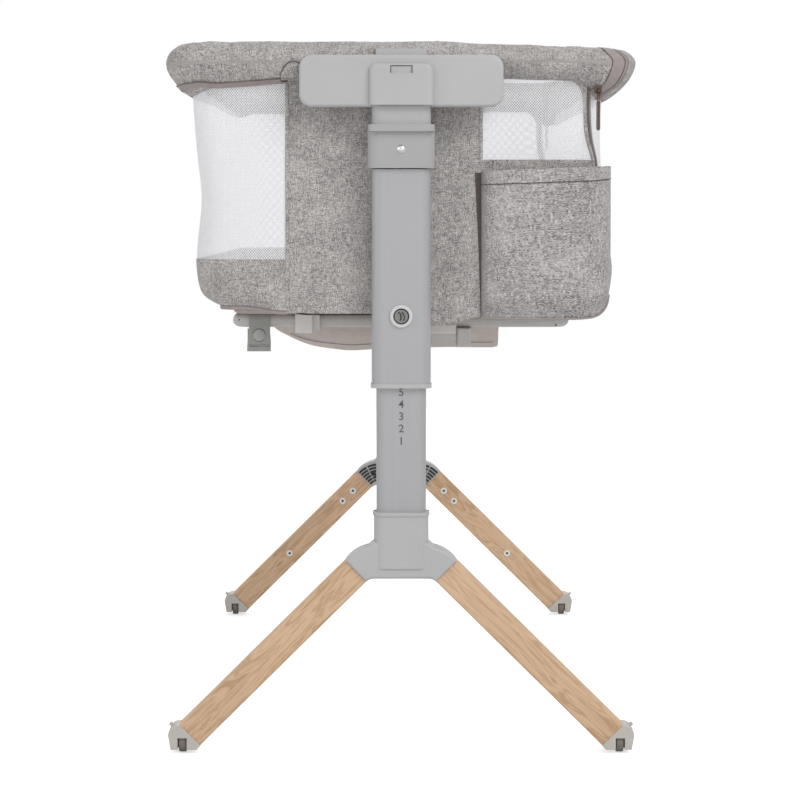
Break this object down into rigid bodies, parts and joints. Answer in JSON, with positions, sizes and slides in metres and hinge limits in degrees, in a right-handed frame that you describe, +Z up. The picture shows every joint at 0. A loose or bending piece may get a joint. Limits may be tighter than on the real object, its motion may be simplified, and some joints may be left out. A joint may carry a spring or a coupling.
{
  "type": "bedside sleeper crib",
  "caption": "Bedside crib: a padded rim with fabric and mesh body, drop-down side and mattress, on two height-adjustable columns with splayed oak legs and small braked wheels.",
  "frame": {"origin": "on the floor, midway between the four wheels", "axes": "+Z up, +Y along the crib away from the end with the pocket, +X towards the drop side"},
  "size_m": [0.568, 0.9354, 0.846],
  "materials": {
    "melange_fabric": "grey melange weave",
    "mesh_fabric": "fine white mesh",
    "taupe_cloth": "smooth taupe cloth",
    "mattress_cloth": "quilted white cloth",
    "webbing": "grey webbing",
    "tube_paint": "satin grey powder coat",
    "column_paint": "satin grey coat",
    "board": "raw fibreboard",
    "grey_plastic": "satin moulded",
    "clip_plastic": "satin moulded",
    "button_plastic": "satin moulded",
    "foot_plastic": "satin moulded",
    "oak": "oiled oak",
    "steel": "zinc plated",
    "zip_metal": "dark satin",
    "dark_leather": "dark brown",
    "wheel_rubber": "grey rubber"
  },
  "bodies": {
    "crib": {"rim_tube": "tube_paint", "rim_padding": "melange_fabric", "near_bracket": "grey_plastic", "far_bracket": "grey_plastic", "near_stub": "grey_plastic", "far_stub": "grey_plastic", "bracket_fasteners": "steel", "near_end_panel": "melange_fabric", "far_end_panel": "melange_fabric", "right_window_meshes": "mesh_fabric", "left_mesh": "mesh_fabric", "left_band": "melange_fabric", "near_pocket": "melange_fabric", "zip_sliders": "zip_metal", "far_column_tube": "column_paint", "far_hinge_insert": "grey_plastic", "far_column_bush": "grey_plastic", "far_button_bezel": "grey_plastic"},
    "near_column": {"near_column_tube": "column_paint", "near_hinge_insert": "grey_plastic", "near_column_bush": "grey_plastic", "near_button_bezel": "grey_plastic"},
    "base": {"base_frame": "tube_paint", "base_board": "board", "base_cloth": "taupe_cloth", "mattress": "mattress_cloth", "base_clips": "clip_plastic", "bed_strap": "webbing"},
    "base_latch": {"latch_lever": "clip_plastic"},
    "drop_side": {"drop_rail_tube": "tube_paint", "drop_rail_padding": "melange_fabric", "drop_wall": "mesh_fabric"},
    "near_legs": {"near_inner_tube": "column_paint", "near_leg_hub": "grey_plastic", "near_wood_legs": "oak", "near_foot_caps": "foot_plastic", "near_leg_screws": "steel", "near_wheel_axles": "steel"},
    "near_button": {"near_button": "button_plastic"},
    "near_lock_collar": {"near_lock_collar": "grey_plastic", "near_collar_screw": "steel"},
    "near_zip_pull": {"near_zip_pull": "dark_leather"},
    "near_left_wheel": {"near_left_wheel": "wheel_rubber"},
    "near_left_brake": {"near_left_brake": "foot_plastic"},
    "near_right_wheel": {"near_right_wheel": "wheel_rubber"},
    "near_right_brake": {"near_right_brake": "foot_plastic"},
    "far_legs": {"far_inner_tube": "column_paint", "far_leg_hub": "grey_plastic", "far_wood_legs": "oak", "far_foot_caps": "foot_plastic", "far_leg_screws": "steel", "far_wheel_axles": "steel"},
    "far_button": {"far_button": "button_plastic"},
    "far_lock_collar": {"far_lock_collar": "grey_plastic", "far_collar_screw": "steel"},
    "far_zip_pull": {"far_zip_pull": "dark_leather"},
    "far_left_wheel": {"far_left_wheel": "wheel_rubber"},
    "far_left_brake": {"far_left_brake": "foot_plastic"},
    "far_right_wheel": {"far_right_wheel": "wheel_rubber"},
    "far_right_brake": {"far_right_brake": "foot_plastic"}
  },
  "joints": [
    {"name": "near_fold", "type": "hinge", "parent": "crib", "child": "near_column", "pos_m": [0, -0.432, 0.685], "axis": [1, 0, 0], "range_deg": [0, 90]},
    {"name": "base_lift", "type": "slide", "parent": "crib", "child": "base", "axis": [0, 0, 1], "range_m": [0, 0.2303], "deforming": ["near_end_panel", "far_end_panel", "right_window_meshes", "left_mesh", "left_band", "near_pocket", "drop_wall", "base_cloth", "mattress", "bed_strap"]},
    {"name": "drop_side_hinge", "type": "hinge", "parent": "crib", "child": "drop_side", "pos_m": [0.2485, 0, 0.534], "axis": [0, 1, 0], "range_deg": [0, 165]},
    {"name": "base_latch_press", "type": "slide", "parent": "base", "child": "base_latch", "axis": [0, 1, 0], "range_m": [0, 0.004], "stiffness_N_per_m": 600},
    {"name": "near_height", "type": "slide", "parent": "near_column", "child": "near_legs", "axis": [0, 0, 1], "range_m": [0, 0.06]},
    {"name": "near_button_press", "type": "slide", "parent": "near_column", "child": "near_button", "axis": [0, 1, 0], "range_m": [0, 0.0035], "stiffness_N_per_m": 600},
    {"name": "near_collar_lift", "type": "slide", "parent": "crib", "child": "near_lock_collar", "axis": [0, 0, 1], "range_m": [0, 0.02]},
    {"name": "near_zip_pull_swing", "type": "hinge", "parent": "crib", "child": "near_zip_pull", "pos_m": [0.234, -0.4246, 0.787], "axis": [-1, 0, 0], "range_deg": [-8, 100]},
    {"name": "near_left_wheel_spin", "type": "hinge", "parent": "near_legs", "child": "near_left_wheel", "pos_m": [-0.26043, -0.44, 0.013], "axis": [1, 0, 0], "continuous": true},
    {"name": "near_left_brake_press", "type": "hinge", "parent": "near_legs", "child": "near_left_brake", "pos_m": [-0.26733, -0.44, 0.028], "axis": [0, -1, 0], "range_deg": [0, 25]},
    {"name": "near_right_wheel_spin", "type": "hinge", "parent": "near_legs", "child": "near_right_wheel", "pos_m": [0.26043, -0.44, 0.013], "axis": [1, 0, 0], "continuous": true},
    {"name": "near_right_brake_press", "type": "hinge", "parent": "near_legs", "child": "near_right_brake", "pos_m": [0.26733, -0.44, 0.028], "axis": [0, 1, 0], "range_deg": [0, 25]},
    {"name": "far_height", "type": "slide", "parent": "crib", "child": "far_legs", "axis": [0, 0, 1], "range_m": [0, 0.06]},
    {"name": "far_button_press", "type": "slide", "parent": "crib", "child": "far_button", "axis": [0, -1, 0], "range_m": [0, 0.0035], "stiffness_N_per_m": 600},
    {"name": "far_collar_lift", "type": "slide", "parent": "crib", "child": "far_lock_collar", "axis": [0, 0, 1], "range_m": [0, 0.02]},
    {"name": "far_zip_pull_swing", "type": "hinge", "parent": "crib", "child": "far_zip_pull", "pos_m": [0.234, 0.4246, 0.787], "axis": [1, 0, 0], "range_deg": [-8, 100]},
    {"name": "far_left_wheel_spin", "type": "hinge", "parent": "far_legs", "child": "far_left_wheel", "pos_m": [-0.26043, 0.44, 0.013], "axis": [1, 0, 0], "continuous": true},
    {"name": "far_left_brake_press", "type": "hinge", "parent": "far_legs", "child": "far_left_brake", "pos_m": [-0.26733, 0.44, 0.028], "axis": [0, -1, 0], "range_deg": [0, 25]},
    {"name": "far_right_wheel_spin", "type": "hinge", "parent": "far_legs", "child": "far_right_wheel", "pos_m": [0.26043, 0.44, 0.013], "axis": [1, 0, 0], "continuous": true},
    {"name": "far_right_brake_press", "type": "hinge", "parent": "far_legs", "child": "far_right_brake", "pos_m": [0.26733, 0.44, 0.028], "axis": [0, 1, 0], "range_deg": [0, 25]}
  ],
  "couplings": [
    {"joint": "base_lift", "follows": "near_fold", "m_per_rad": 0.146}
  ]
}
